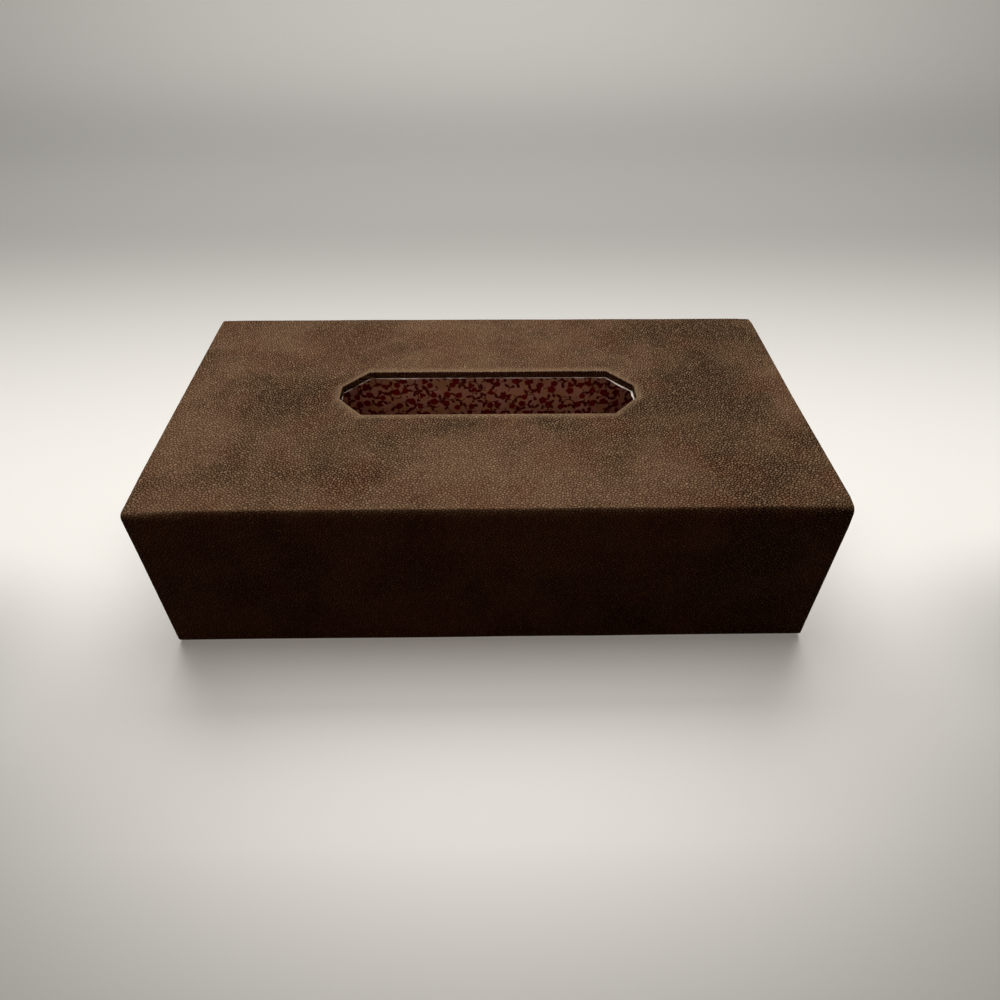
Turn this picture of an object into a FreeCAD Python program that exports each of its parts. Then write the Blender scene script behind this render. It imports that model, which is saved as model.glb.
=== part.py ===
import FreeCAD, Part
import math
import os
from types import SimpleNamespace

import Sketcher

# Tissue box with a drawer: a leatherette sleeve, closed at its left end, and a paper-lined drawer that
# slides out of its right end to take the tissues. They are drawn through a slot in the top panel.
#
# Frame, in millimetres: the origin is at the middle of the underside that the box stands on, +Z is up,
# +X runs along the box towards the drawer's face, and -Y is the long front.

# ---------------------------------------------------------------- driving dimensions

SIZES = {
    # sleeve
    "casing_length": 260.0,
    "casing_width": 140.0,
    "casing_height": 74.0,
    "board_thickness": 2.5,
    "cover_thickness": 0.7,
    "lining_thickness": 0.2,
    "top_board_rounding": 1.8,
    "bottom_board_rounding": 0.8,
    "pad_thickness": 1.0,
    "pad_inset": 2.5,
    "pad_corner_radius": 3.0,
    # tissue slot, a rectangle with its four corners cut off, a little behind the middle of the top
    "slot_length": 126.0,
    "slot_width": 32.0,
    "slot_end_flat": 8.8,
    "slot_corner_length": 10.5,
    "slot_offset": 4.9,
    "lining_reveal": 0.45,
    # drawer
    "drawer_board_thickness": 2.0,
    "face_board_thickness": 2.5,
    "drawer_side_gap": 0.5,
    "drawer_floor_gap": 0.3,
    "drawer_end_gap": 0.3,
    "drawer_top_gap": 0.5,
    "drawer_headroom": 6.0,
    "face_recess": 0.4,
    # pull tab, a strap of leatherette folded double
    "tab_width": 24.0,
    "tab_ply": 0.9,
    "tab_tail": 12.0,
    "tab_straight": 3.0,
    "tab_bend_radius": 20.0,
    "tab_droop_angle": 35.0,
}

# An edge is rounded through at most this share of the sheet or board that it belongs to.
ROUNDING_SHARE = 0.9
TOLERANCE = 1e-4
PARTS_FOLDER = "parts"

doc = FreeCAD.newDocument("tissue_box_with_drawer")
sheet = doc.addObject("Spreadsheet::Sheet", "Sizes")


class Measure:
    """A length or an angle: its value now, and the document expression that works it out from the sheet."""

    def __init__(self, text, value):
        self.text = text
        self.value = value

    def __add__(self, other):
        other = as_measure(other)
        return Measure(f"({self.text} + {other.text})", self.value + other.value)

    def __sub__(self, other):
        other = as_measure(other)
        return Measure(f"({self.text} - {other.text})", self.value - other.value)

    def __mul__(self, other):
        other = as_measure(other)
        return Measure(f"({self.text} * {other.text})", self.value * other.value)

    def __truediv__(self, other):
        other = as_measure(other)
        return Measure(f"({self.text} / {other.text})", self.value / other.value)

    def __neg__(self):
        return Measure(f"(-{self.text})", -self.value)


def as_measure(thing):
    return thing if isinstance(thing, Measure) else Measure(str(float(thing)), float(thing))


def root(measure):
    return Measure(f"sqrt({measure.text})", math.sqrt(measure.value))


def smaller(one, other):
    return Measure(f"min({one.text}; {other.text})", min(one.value, other.value))


def fill_sheet():
    """Gives every driving dimension a row of the sheet: its name, and its value under an alias."""
    for row, (name, amount) in enumerate(SIZES.items(), start=1):
        sheet.set(f"A{row}", name)
        sheet.set(f"B{row}", str(amount))
        sheet.setAlias(f"B{row}", name)
    doc.recompute()
    return {name: Measure(f"{sheet.Name}.{name}", amount) for name, amount in SIZES.items()}


size = SimpleNamespace(**fill_sheet())

# ---------------------------------------------------------------- positions

# Sleeve, along the box
closed_end = -size.casing_length / 2
mouth = size.casing_length / 2
boards_closed_end = closed_end + size.cover_thickness
boards_mouth = mouth - size.cover_thickness
end_board_inside = boards_closed_end + size.board_thickness
inside_closed_end = end_board_inside + size.lining_thickness

# Sleeve, across the box, from the middle to one side
cover_side = size.casing_width / 2
boards_side = cover_side - size.cover_thickness
walls_inside = boards_side - size.board_thickness
inside_side = walls_inside - size.lining_thickness
pad_side = cover_side - size.pad_inset

# Sleeve, up from the underside
underside = as_measure(0)
cover_bottom = size.pad_thickness
boards_bottom = cover_bottom + size.cover_thickness
floor_board_top = boards_bottom + size.board_thickness
inside_floor = floor_board_top + size.lining_thickness
casing_top = size.casing_height
boards_top = casing_top - size.cover_thickness
ceiling_board_underside = boards_top - size.board_thickness
inside_ceiling = ceiling_board_underside - size.lining_thickness

# The boards' long edges are rounded, and the leatherette follows them one thickness further out.
most_rounding = size.board_thickness * ROUNDING_SHARE
top_rounding = smaller(size.top_board_rounding, most_rounding)
bottom_rounding = smaller(size.bottom_board_rounding, most_rounding)

# Drawer, along the box
drawer_inner_end = inside_closed_end + size.drawer_end_gap
tray_inner_end = drawer_inner_end + size.lining_thickness
tray_inside_end = tray_inner_end + size.drawer_board_thickness
tray_lined_end = tray_inside_end + size.lining_thickness
face_front = mouth - size.face_recess
face_board_front = face_front - size.cover_thickness
face_board_inside = face_board_front - size.face_board_thickness

# Drawer, across the box, from the middle to one side
drawer_side = inside_side - size.drawer_side_gap
tray_side = drawer_side - size.lining_thickness
tray_inside_side = tray_side - size.drawer_board_thickness
tray_lined_side = tray_inside_side - size.lining_thickness
face_board_side = drawer_side - size.cover_thickness

# Drawer, up from the underside
drawer_bottom = inside_floor + size.drawer_floor_gap
tray_bottom = drawer_bottom + size.lining_thickness
tray_floor = tray_bottom + size.drawer_board_thickness
tray_lined_floor = tray_floor + size.lining_thickness
face_top = inside_ceiling - size.drawer_top_gap
face_board_bottom = drawer_bottom + size.cover_thickness
face_board_top = face_top - size.cover_thickness
fold_top = inside_ceiling - size.drawer_headroom
wall_top = fold_top - size.lining_thickness

# Pull tab: the two plies of the strap meet at the middle of the face.
tab_side = size.tab_width / 2
tab_middle = (drawer_bottom + face_top) / 2
tab_under = tab_middle - size.tab_ply
tab_over = tab_middle + size.tab_ply
tail_bottom = tab_under - size.tab_tail
tail_top = tab_over + size.tab_tail
tails_front = face_board_inside + size.tab_ply
tab_bend_start = face_front + size.tab_straight
tab_bend_axis = tab_middle - size.tab_bend_radius


def both_sides(side):
    """From one side of the middle plane to the other."""
    return (-side, side)


# ---------------------------------------------------------------- sketches and features


def new_body(name):
    body = doc.addObject("PartDesign::Body", name)
    body.Label = name
    return body


def new_feature(body, kind, ending):
    return body.newObject(kind, f"{body.Name}_{ending}")


def sketch_on(body, plane_role, offset):
    """An empty sketch on one of the body's own origin planes, moved along that plane's normal."""
    plane = next(feature for feature in body.Origin.OriginFeatures if feature.Role == plane_role)
    sketch = new_feature(body, "Sketcher::SketchObject", "sketch")
    sketch.AttachmentSupport = [(plane, "")]
    sketch.MapMode = "FlatFace"
    sketch.setExpression("AttachmentOffset.Base.z", offset.text)
    return sketch


def hold(sketch, kind, vertex, measure):
    """Holds the start of one line at a distance from the sketch's origin."""
    constraint = sketch.addConstraint(Sketcher.Constraint(kind, -1, 1, vertex, 1, measure.value))
    sketch.setExpression(f"Constraints[{constraint}]", measure.text)


def draw_outline(sketch, corners):
    """A closed run of straight lines. Every corner's two distances are held to the sheet."""
    points = [FreeCAD.Vector(across.value, up.value, 0) for across, up in corners]
    for here, there in zip(points, points[1:] + points[:1]):
        sketch.addGeometry(Part.LineSegment(here, there))
    for line in range(len(corners)):
        sketch.addConstraint(Sketcher.Constraint("Coincident", line, 2, (line + 1) % len(corners), 1))
    for vertex, (across, up) in enumerate(corners):
        hold(sketch, "DistanceX", vertex, across)
        hold(sketch, "DistanceY", vertex, up)


def rectangle(across, up):
    left, right = across
    low, high = up
    return [(left, low), (right, low), (right, high), (left, high)]


def slot_outline(outset):
    """The tissue slot's eight corners, with every side moved outwards by the same distance."""
    corner_width = (size.slot_width - size.slot_end_flat) / 2
    slant = root(size.slot_corner_length * size.slot_corner_length + corner_width * corner_width)
    widening = size.slot_corner_length + corner_width - slant
    half_length = size.slot_length / 2 + outset
    half_width = size.slot_width / 2 + outset
    side_end = half_length - size.slot_corner_length - outset * widening / corner_width
    end_edge = half_width - corner_width - outset * widening / size.slot_corner_length
    front, rear = size.slot_offset - half_width, size.slot_offset + half_width
    front_edge, rear_edge = size.slot_offset - end_edge, size.slot_offset + end_edge
    right = [(side_end, front), (half_length, front_edge), (half_length, rear_edge), (side_end, rear)]
    return right + [(-x, y) for x, y in reversed(right)]


def recompute_changed(body, feature):
    """Recomputes the body, and stops if its new feature neither added nor removed material."""
    before = body.Shape.Volume if feature.BaseFeature else 0.0
    doc.recompute()
    if abs(body.Shape.Volume - before) < TOLERANCE:
        raise RuntimeError(f"{feature.Label} changed nothing")


def add_prism(body, corners, up):
    """Adds the material between two heights inside an outline drawn from above."""
    low, high = up
    sketch = sketch_on(body, "XY_Plane", low)
    draw_outline(sketch, corners)
    pad = new_feature(body, "PartDesign::Pad", "pad")
    pad.Profile = sketch
    pad.setExpression("Length", (high - low).text)
    recompute_changed(body, pad)


def cut_prism(body, corners, up):
    """Removes the material between two heights inside an outline drawn from above."""
    low, high = up
    sketch = sketch_on(body, "XY_Plane", low)
    draw_outline(sketch, corners)
    pocket = new_feature(body, "PartDesign::Pocket", "pocket")
    pocket.Profile = sketch
    pocket.Reversed = True
    pocket.setExpression("Length", (high - low).text)
    recompute_changed(body, pocket)


def add_block(body, along, across, up):
    add_prism(body, rectangle(along, across), up)


def cut_block(body, along, across, up):
    cut_prism(body, rectangle(along, across), up)


def panel(name, along, across, up):
    """A flat rectangular board or sheet."""
    body = new_body(name)
    add_block(body, along, across, up)
    return body


def lies_in(edge, axis, *levels):
    """Whether the whole edge lies in a plane that crosses an axis, x, y or z, at one of the levels."""
    box = edge.BoundBox
    low, high = {"x": (box.XMin, box.XMax), "y": (box.YMin, box.YMax), "z": (box.ZMin, box.ZMax)}[axis]
    return any(abs(low - level.value) + abs(high - level.value) < TOLERANCE for level in levels)


def round_edges(body, radius, test):
    """Rounds every edge of the body that passes the test."""
    chosen = [f"Edge{n}" for n, edge in enumerate(body.Shape.Edges, start=1) if test(edge)]
    if not chosen:
        raise RuntimeError(f"{body.Label} has no such edge to round")
    base = body.Tip
    fillet = new_feature(body, "PartDesign::Fillet", "fillet")
    fillet.Base = (base, chosen)
    fillet.setExpression("Radius", radius.text)
    recompute_changed(body, fillet)


def round_long_edges(body, side, level, radius):
    """Rounds the two edges that run along the box at one height, at a distance to either side."""
    round_edges(body, radius, lambda edge: lies_in(edge, "z", level) and lies_in(edge, "y", *both_sides(side)))


def round_rim(body, position, radius):
    """Rounds the edges of the face that looks along the box at one position."""
    round_edges(body, radius, lambda edge: lies_in(edge, "x", position))


# ---------------------------------------------------------------- sleeve


def make_casing_boards():
    along = (boards_closed_end, boards_mouth)
    between = (floor_board_top, ceiling_board_underside)
    top_up = (ceiling_board_underside, boards_top)

    top = panel("casing_top_board", along, both_sides(boards_side), top_up)
    cut_prism(top, slot_outline(size.cover_thickness), top_up)
    round_long_edges(top, boards_side, boards_top, top_rounding)

    bottom = panel("casing_bottom_board", along, both_sides(boards_side), (boards_bottom, floor_board_top))
    round_long_edges(bottom, boards_side, boards_bottom, bottom_rounding)

    panel("casing_front_board", along, (-boards_side, -walls_inside), between)
    panel("casing_rear_board", along, (walls_inside, boards_side), between)
    panel("casing_end_board", (boards_closed_end, end_board_inside), both_sides(walls_inside), between)


def make_casing_cover():
    """One sheet of leatherette round the four long panels, turned in at the mouth and into the slot.

    Where it turns over a square edge, its outside is as round as the sheet is thick.
    """
    cover = new_body("casing_cover")
    add_block(cover, (boards_closed_end, mouth), both_sides(cover_side), (cover_bottom, casing_top))
    cut_block(cover, (boards_closed_end, boards_mouth), both_sides(boards_side), (boards_bottom, boards_top))
    round_long_edges(cover, boards_side, boards_top, top_rounding)
    round_long_edges(cover, boards_side, boards_bottom, bottom_rounding)
    round_long_edges(cover, cover_side, casing_top, top_rounding + size.cover_thickness)
    round_long_edges(cover, cover_side, cover_bottom, bottom_rounding + size.cover_thickness)
    round_rim(cover, mouth, size.cover_thickness)
    cut_block(cover, (boards_mouth, mouth), both_sides(inside_side), (inside_floor, inside_ceiling))

    through = (ceiling_board_underside, casing_top)
    add_prism(cover, slot_outline(size.cover_thickness), through)
    cut_prism(cover, slot_outline(as_measure(0)), through)
    slot = FreeCAD.BoundBox(
        -size.slot_length.value / 2,
        (size.slot_offset - size.slot_width / 2).value,
        casing_top.value,
        size.slot_length.value / 2,
        (size.slot_offset + size.slot_width / 2).value,
        casing_top.value,
    )
    slot.enlarge(TOLERANCE)
    round_edges(cover, size.cover_thickness, lambda edge: slot.isInside(edge.BoundBox))


def make_casing_end_cover():
    """The leatherette panel on the closed end. Its edges meet the wrapped sheet's."""
    cover = panel(
        "casing_end_cover",
        (closed_end, boards_closed_end),
        both_sides(cover_side),
        (cover_bottom, casing_top),
    )
    round_long_edges(cover, cover_side, casing_top, top_rounding + size.cover_thickness)
    round_long_edges(cover, cover_side, cover_bottom, bottom_rounding + size.cover_thickness)
    round_rim(cover, closed_end, size.cover_thickness * ROUNDING_SHARE)


def make_casing_lining():
    """Printed paper on the sleeve's five inner faces. Round the slot it stands a little proud of the turned edge."""
    along = (end_board_inside, boards_mouth)
    between = (inside_floor, inside_ceiling)
    ceiling = (inside_ceiling, ceiling_board_underside)

    top = panel("casing_top_lining", along, both_sides(walls_inside), ceiling)
    cut_prism(top, slot_outline(-size.lining_reveal), ceiling)
    panel("casing_bottom_lining", along, both_sides(walls_inside), (floor_board_top, inside_floor))
    panel("casing_front_lining", along, (-walls_inside, -inside_side), between)
    panel("casing_rear_lining", along, (inside_side, walls_inside), between)
    panel("casing_end_lining", (end_board_inside, inside_closed_end), both_sides(inside_side), between)


def make_base_pad():
    """The thin felt pad under the sleeve. It is set in from the edges, and the box stands on it."""
    along = (closed_end + size.pad_inset, mouth - size.pad_inset)
    pad = panel("base_pad", along, both_sides(pad_side), (underside, size.pad_thickness))
    round_edges(
        pad,
        size.pad_corner_radius,
        lambda edge: lies_in(edge, "x", *along) and lies_in(edge, "y", *both_sides(pad_side)),
    )


# ---------------------------------------------------------------- drawer


def make_drawer_boards():
    along = (tray_inner_end, face_board_inside)
    walls = (tray_floor, wall_top)
    panel("drawer_bottom_board", along, both_sides(tray_side), (tray_bottom, tray_floor))
    panel("drawer_front_side_board", along, (-tray_side, -tray_inside_side), walls)
    panel("drawer_rear_side_board", along, (tray_inside_side, tray_side), walls)
    panel("drawer_inner_end_board", (tray_inner_end, tray_inside_end), both_sides(tray_inside_side), walls)


def make_drawer_face_board():
    """The board behind the drawer's face, slit for the pull tab and sunk on its inside for the tab's tails."""
    along = (face_board_inside, face_board_front)
    board = panel(
        "drawer_face_board",
        along,
        both_sides(face_board_side),
        (face_board_bottom, face_board_top),
    )
    cut_block(board, along, both_sides(tab_side), (tab_under, tab_over))
    cut_block(board, (face_board_inside, tails_front), both_sides(tab_side), (tail_bottom, tail_top))


def make_drawer_face_cover():
    """Leatherette over the drawer's face and its four edges, turned down inside along the top."""
    cover = new_body("drawer_face_cover")
    along = (face_board_inside, face_board_front)
    add_block(cover, (face_board_inside, face_front), both_sides(drawer_side), (drawer_bottom, face_top))
    round_rim(cover, face_front, size.cover_thickness)
    turned_down = (face_board_inside - size.cover_thickness, face_board_inside)
    add_block(cover, turned_down, both_sides(drawer_side), (fold_top, face_top))
    cut_block(cover, along, both_sides(face_board_side), (face_board_bottom, face_board_top))
    cut_block(cover, (face_board_front, face_front), both_sides(tab_side), (tab_under, tab_over))


def make_drawer_outer_wrap():
    """Plain paper under the drawer, up its long sides and up its inner end, open where the face is fixed."""
    wrap = new_body("drawer_outer_wrap")
    outer_along = (drawer_inner_end, face_board_inside)
    add_block(wrap, outer_along, both_sides(drawer_side), (drawer_bottom, wall_top))
    cut_block(wrap, (tray_inner_end, face_board_inside), both_sides(tray_side), (tray_bottom, wall_top))


def make_drawer_lining():
    """Printed paper in the drawer. On three of its walls it is folded over the top edge."""
    inside = (tray_inside_end, face_board_inside)
    whole = (drawer_inner_end, face_board_inside)
    up_wall = (tray_lined_floor, wall_top)
    fold = (wall_top, fold_top)
    across = both_sides(tray_lined_side)
    panel("drawer_floor_lining", inside, both_sides(tray_inside_side), (tray_floor, tray_lined_floor))

    front = panel("drawer_front_side_lining", inside, (-tray_inside_side, -tray_lined_side), up_wall)
    add_block(front, whole, (-drawer_side, -tray_lined_side), fold)

    rear = panel("drawer_rear_side_lining", inside, (tray_lined_side, tray_inside_side), up_wall)
    add_block(rear, whole, (tray_lined_side, drawer_side), fold)

    end = panel("drawer_inner_end_lining", (tray_inside_end, tray_lined_end), across, up_wall)
    add_block(end, (drawer_inner_end, tray_lined_end), across, fold)

    behind_face = (face_board_inside - size.lining_thickness, face_board_inside)
    panel("drawer_face_lining", behind_face, across, (tray_lined_floor, fold_top))


# ---------------------------------------------------------------- pull tab


def make_pull_tab():
    """A folded strap through the drawer's face. Its tails lie up and down the board, and its fold droops."""
    tab = new_body("drawer_pull_tab")
    across = both_sides(tab_side)
    add_block(tab, (face_board_inside, tails_front), across, (tail_bottom, tail_top))
    add_block(tab, (tails_front, tab_bend_start), across, (tab_under, tab_over))
    add_droop(tab)
    furthest = max(edge.BoundBox.XMax for edge in tab.Shape.Edges)
    fold_depth = 2 * size.tab_ply.value
    round_edges(
        tab,
        size.tab_ply * ROUNDING_SHARE,
        lambda edge: edge.BoundBox.XLength < TOLERANCE
        and edge.BoundBox.ZLength < TOLERANCE
        and edge.BoundBox.XMin > max(tab_bend_start.value + TOLERANCE, furthest - fold_depth),
    )


def add_droop(tab):
    """Turns the strap's section about an axis across the box, below the strap, so that it bends down."""
    sketch = sketch_on(tab, "YZ_Plane", tab_bend_start)
    left, right = both_sides(tab_side)
    draw_outline(sketch, rectangle((left, right), (tab_under, tab_over)))
    ends = [FreeCAD.Vector(side.value, tab_bend_axis.value, 0) for side in (left, right)]
    axis = sketch.addGeometry(Part.LineSegment(*ends), True)
    hold(sketch, "DistanceX", axis, left)
    hold(sketch, "DistanceY", axis, tab_bend_axis)
    sketch.addConstraint(Sketcher.Constraint("Horizontal", axis))
    sketch.addConstraint(Sketcher.Constraint("Vertical", axis, 2, 1, 1))
    bend = new_feature(tab, "PartDesign::Revolution", "bend")
    bend.Profile = sketch
    bend.ReferenceAxis = (sketch, ["Axis0"])
    bend.setExpression("Angle", size.tab_droop_angle.text)
    recompute_changed(tab, bend)


# ---------------------------------------------------------------- build


def all_bodies():
    return [thing for thing in doc.Objects if thing.TypeId == "PartDesign::Body"]


def check_document():
    """Stops at the first object that failed, and at the first body that isn't one closed solid."""
    for thing in doc.Objects:
        if {"Invalid", "Error"} & set(thing.State):
            raise RuntimeError(f"{thing.Label} failed: {thing.State}")
    for body in all_bodies():
        if body.Shape.isNull() or not body.Shape.isValid() or len(body.Shape.Solids) != 1:
            raise RuntimeError(f"{body.Label} is not one valid solid")


def main():
    make_casing_boards()
    make_casing_cover()
    make_casing_end_cover()
    make_casing_lining()
    make_base_pad()
    make_drawer_boards()
    make_drawer_face_board()
    make_drawer_face_cover()
    make_drawer_outer_wrap()
    make_drawer_lining()
    make_pull_tab()
    doc.recompute()
    check_document()
    os.makedirs(PARTS_FOLDER, exist_ok=True)
    for body in all_bodies():
        body.Shape.exportStep(os.path.join(PARTS_FOLDER, f"{body.Label}.step"))
        print(f"{body.Label:28s} {body.Shape.Volume:10.1f} cubic mm")


main()
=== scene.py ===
"""Dresses the tissue box: leatherette over its sleeve and drawer face, printed lining paper, a stitched
pull tab and a felt pad, on a pale sweep with painted light fall-off, and soft light from above and behind."""

import math

import bmesh
import bpy
from bpy.props import FloatProperty, FloatVectorProperty, PointerProperty
from mathutils import Matrix, Vector, noise


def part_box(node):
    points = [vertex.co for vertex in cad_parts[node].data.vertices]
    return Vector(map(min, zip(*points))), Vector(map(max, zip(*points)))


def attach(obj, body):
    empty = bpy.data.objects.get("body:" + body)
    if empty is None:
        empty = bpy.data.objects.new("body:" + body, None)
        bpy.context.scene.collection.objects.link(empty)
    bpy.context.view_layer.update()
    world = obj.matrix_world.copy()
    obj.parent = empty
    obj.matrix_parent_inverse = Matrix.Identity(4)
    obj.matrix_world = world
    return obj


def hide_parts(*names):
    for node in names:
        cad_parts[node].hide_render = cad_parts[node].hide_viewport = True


bl_info = {
    "name": "Tissue box with drawer",
    "version": (1, 0, 0),
    "blender": (4, 5, 0),
    "location": "View3D > Sidebar > Tissue box",
    "description": "Covers the tissue box's frame with leatherette, lining paper and felt",
    "category": "Object",
}

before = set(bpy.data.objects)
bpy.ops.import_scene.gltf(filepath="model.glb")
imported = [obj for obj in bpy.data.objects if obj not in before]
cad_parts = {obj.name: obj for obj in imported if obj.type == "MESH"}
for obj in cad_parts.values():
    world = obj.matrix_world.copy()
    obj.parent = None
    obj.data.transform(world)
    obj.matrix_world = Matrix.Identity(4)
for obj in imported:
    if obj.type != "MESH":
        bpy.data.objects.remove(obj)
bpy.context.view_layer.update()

MM = 0.001
X, Y, Z = 0, 1, 2

SLEEVE_BOARDS = (
    "casing_top_board",
    "casing_front_board",
    "casing_rear_board",
    "casing_bottom_board",
    "casing_end_board",
)
DRAWER_BOARDS = (
    "drawer_bottom_board",
    "drawer_front_side_board",
    "drawer_rear_side_board",
    "drawer_inner_end_board",
    "drawer_face_board",
)
# How the print runs over each sheet: along the first axis, and up the second. Over a folded edge it runs
# on along the third, which adds to the second with this sign.
PRINTED_SHEETS = {
    "casing_front_lining": (X, Z, Y, 1),
    "casing_rear_lining": (X, Z, Y, -1),
    "casing_bottom_lining": (X, Y, Z, 1),
    "casing_end_lining": (Y, Z, X, 1),
    "drawer_floor_lining": (X, Y, Z, 1),
    "drawer_front_side_lining": (X, Z, Y, -1),
    "drawer_rear_side_lining": (X, Z, Y, 1),
    "drawer_inner_end_lining": (Y, Z, X, -1),
    "drawer_face_lining": (Y, Z, X, 1),
}

# ---------------------------------------------------------------- settings


def distance(name, description, millimetres):
    return FloatProperty(
        name=name, description=description, default=millimetres * MM, unit="LENGTH", precision=5
    )


def share(name, description, default):
    return FloatProperty(
        name=name, description=description, default=default, min=0.0, max=1.0, subtype="FACTOR"
    )


def power(name, description, watts):
    return FloatProperty(name=name, description=description, default=watts, unit="POWER")


def colour(name, description, red, green, blue):
    """A colour given as it looks on a screen, in 255ths, and kept as the shader wants it."""
    linear = [((part / 255 + 0.055) / 1.055) ** 2.4 for part in (red, green, blue)]
    return FloatVectorProperty(
        name=name, description=description, default=linear, size=3, min=0.0, max=1.0, subtype="COLOR"
    )


class SleeveSettings(bpy.types.PropertyGroup):
    """Shape of the leatherette round the sleeve."""

    sheet: distance("Sheet", "Thickness of the leatherette", 0.5)
    top_radius: distance("Top edge", "Radius that the long top edges are first rounded to", 3.0)
    top_reach: distance("Top edge reach", "How far their rounding reaches over the top in the end", 2.0)
    top_drop: distance("Top edge drop", "How far the same rounding reaches down the sides", 8.0)
    end_reach: distance("Reach at the ends", "How far it reaches over the top at either end", 2.2)
    end_drop: distance("Drop at the ends", "How far it reaches down the sides at either end", 2.6)
    tightening: distance("Tightening", "Distance from an end over which the top edges tighten", 34.0)
    bottom_radius: distance("Bottom edge", "Radius of the two long bottom edges", 1.5)
    rim_radius: distance("Mouth rim", "Radius of the outer edge round the mouth", 0.5)
    inner_rim_radius: distance("Mouth inner rim", "Radius of the inner edge round the mouth", 0.3)
    flare: distance("Flare", "How far the front corner of the mouth is drawn out", 1.0)
    flare_length: distance("Flare length", "How far back from the mouth that reaches", 60.0)
    seam: distance("Seam", "Gap between the wrapped sheet and the panel on the closed end", 0.12)
    panel_rim: distance("Panel rim", "Radius of the edge round the panel on the closed end", 0.55)
    wave: distance("Wave", "How far the glued sheet rises and falls", 0.1)
    wave_size: distance("Wave size", "Distance from one rise to the next", 42.0)
    corner_give: distance("Corner give", "How far the sheet gives way at the top corners", 0.5)


class SlotSettings(bpy.types.PropertyGroup):
    """The tissue slot, a rectangle with its four corners cut off."""

    length: distance("Length", "Length of the slot", 126.0)
    width: distance("Width", "Width of the slot", 32.0)
    end_flat: distance("End flat", "Straight length of either end", 8.8)
    corner: distance("Corner", "Length of each cut corner along the slot", 10.5)
    offset: distance("Offset", "Distance of the slot behind the middle of the top", 4.9)
    rim_radius: distance("Rim", "Radius of the leatherette where it turns into the slot", 0.45)
    dip: distance("Dip", "How far the sheet is drawn down round the slot", 0.04)
    dip_reach: distance("Dip reach", "Distance from the slot at which the sheet is level again", 5.0)
    paper_reveal: distance("Paper reveal", "How far the lining paper stands past the slot's wall", 0.42)
    paper_wander: distance("Paper wander", "How far the cut edge of the lining paper strays", 0.85)
    paper_shift: distance("Paper shift", "How far the paper's hole lies to the left of the slot", 0.35)


class LeatheretteSettings(bpy.types.PropertyGroup):
    """Colour and grain of the leatherette."""

    light: colour("Light patch", "Colour of the rubbed, lighter patches", 114, 87, 64)
    dark: colour("Dark patch", "Colour of the darker patches", 70, 49, 29)
    warm: colour("Warm patch", "Reddish tint that comes and goes", 98, 60, 40)
    # Painted shade: the creases between the pebbles are darkened by this tint.
    crease_shade: colour("Creases", "Tint of the creases between the pebbles, over the patches", 110, 91, 78)
    # Painted highlight: the glint of light on the pebbles' tops, painted in this colour.
    glint_colour: colour("Crowns", "Colour of the rubbed tops of the pebbles", 192, 160, 126)
    patch: distance("Patch size", "Size of the cloudy patches", 42.0)
    pebble: distance("Pebble", "Spacing of the pebbles in the grain", 1.18)
    grain_depth: distance("Grain depth", "Depth of the creases between the pebbles", 0.12)
    # How strongly the painted shade in the creases shows.
    crease_shade_amount: share("Groove", "How much darker the creases are", 1.0)
    # How strongly the painted highlight on the pebbles' tops shows.
    glint_strength: share("Polish", "How much lighter the pebbles' tops are", 0.31)
    roughness: share("Roughness", "Roughness of the leatherette", 0.62)


class PaperSettings(bpy.types.PropertyGroup):
    """The printed lining paper and the plain paper."""

    ground: colour("Ground", "Colour of the paper between the motifs", 251, 222, 218)
    ground_tint: colour("Ground tint", "Second colour of the ground, in soft patches", 243, 214, 178)
    blossom: colour("Blossoms", "Colour of the blossoms", 150, 16, 14)
    leaf: colour("Leaves", "Colour of the leaves and stems", 116, 22, 16)
    cut_edge: colour("Cut edge", "Colour of the paper's back and cut edge", 250, 240, 230)
    wrap: colour("Wrap", "Colour of the plain paper outside the drawer", 74, 52, 38)
    blossom_cell: distance("Blossom spacing", "Distance between blossoms", 6.9)
    leaf_cell: distance("Leaf spacing", "Distance between pairs of leaves", 5.9)
    stem_cell: distance("Stem spacing", "Distance between curved stems", 10.0)
    berry_cell: distance("Berry spacing", "Distance between berries", 5.0)


class DrawerSettings(bpy.types.PropertyGroup):
    """Leatherette on the drawer's face, round the slit for the tab."""

    rim: distance("Rim", "Radius of the edge round the face", 0.9)
    slit_height: distance("Slit height", "Height of the slit", 2.1)
    slit_room: distance("Slit room", "Room in the slit at either side of the tab", 0.15)
    slit_depth: distance("Slit depth", "How deep the leatherette turns into the slit", 1.4)
    slit_radius: distance("Slit edge", "Radius of the slit's edge", 0.35)
    pucker: distance("Pucker", "How far the sheet is drawn in at the slit", 0.12)
    pucker_reach: distance("Pucker reach", "Distance from the slit at which it is level again", 7.0)


class TabSettings(bpy.types.PropertyGroup):
    """The pull tab and its stitching."""

    ply: distance("Ply", "Thickness of each of the strap's two plies", 0.9)
    edge: distance("Edge", "Radius of the tab's long edges", 0.3)
    bend_radius: distance("Bend", "Radius that the tab droops round", 20.0)
    droop: FloatProperty(
        name="Droop",
        description="Angle that the tab's end has turned down by",
        default=math.radians(35),
        subtype="ANGLE",
    )
    straight: distance("Straight", "Length of the tab before it droops", 3.0)
    root: distance("Root", "Length of the tab inside the slit", 1.2)
    fold_line: distance("Fold line", "Half the height of the line where the two plies meet", 0.14)
    first_stitch: distance("First stitch", "Distance from the face to the stitching", 1.6)
    stitch: distance("Stitch", "Length of a stitch", 2.0)
    stitch_pitch: distance("Stitch pitch", "Distance from one stitch to the next", 2.9)
    thread: distance("Thread", "Thickness of the thread", 0.42)
    margin: distance("Margin", "Distance from the tab's edge to the stitching", 2.0)


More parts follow.
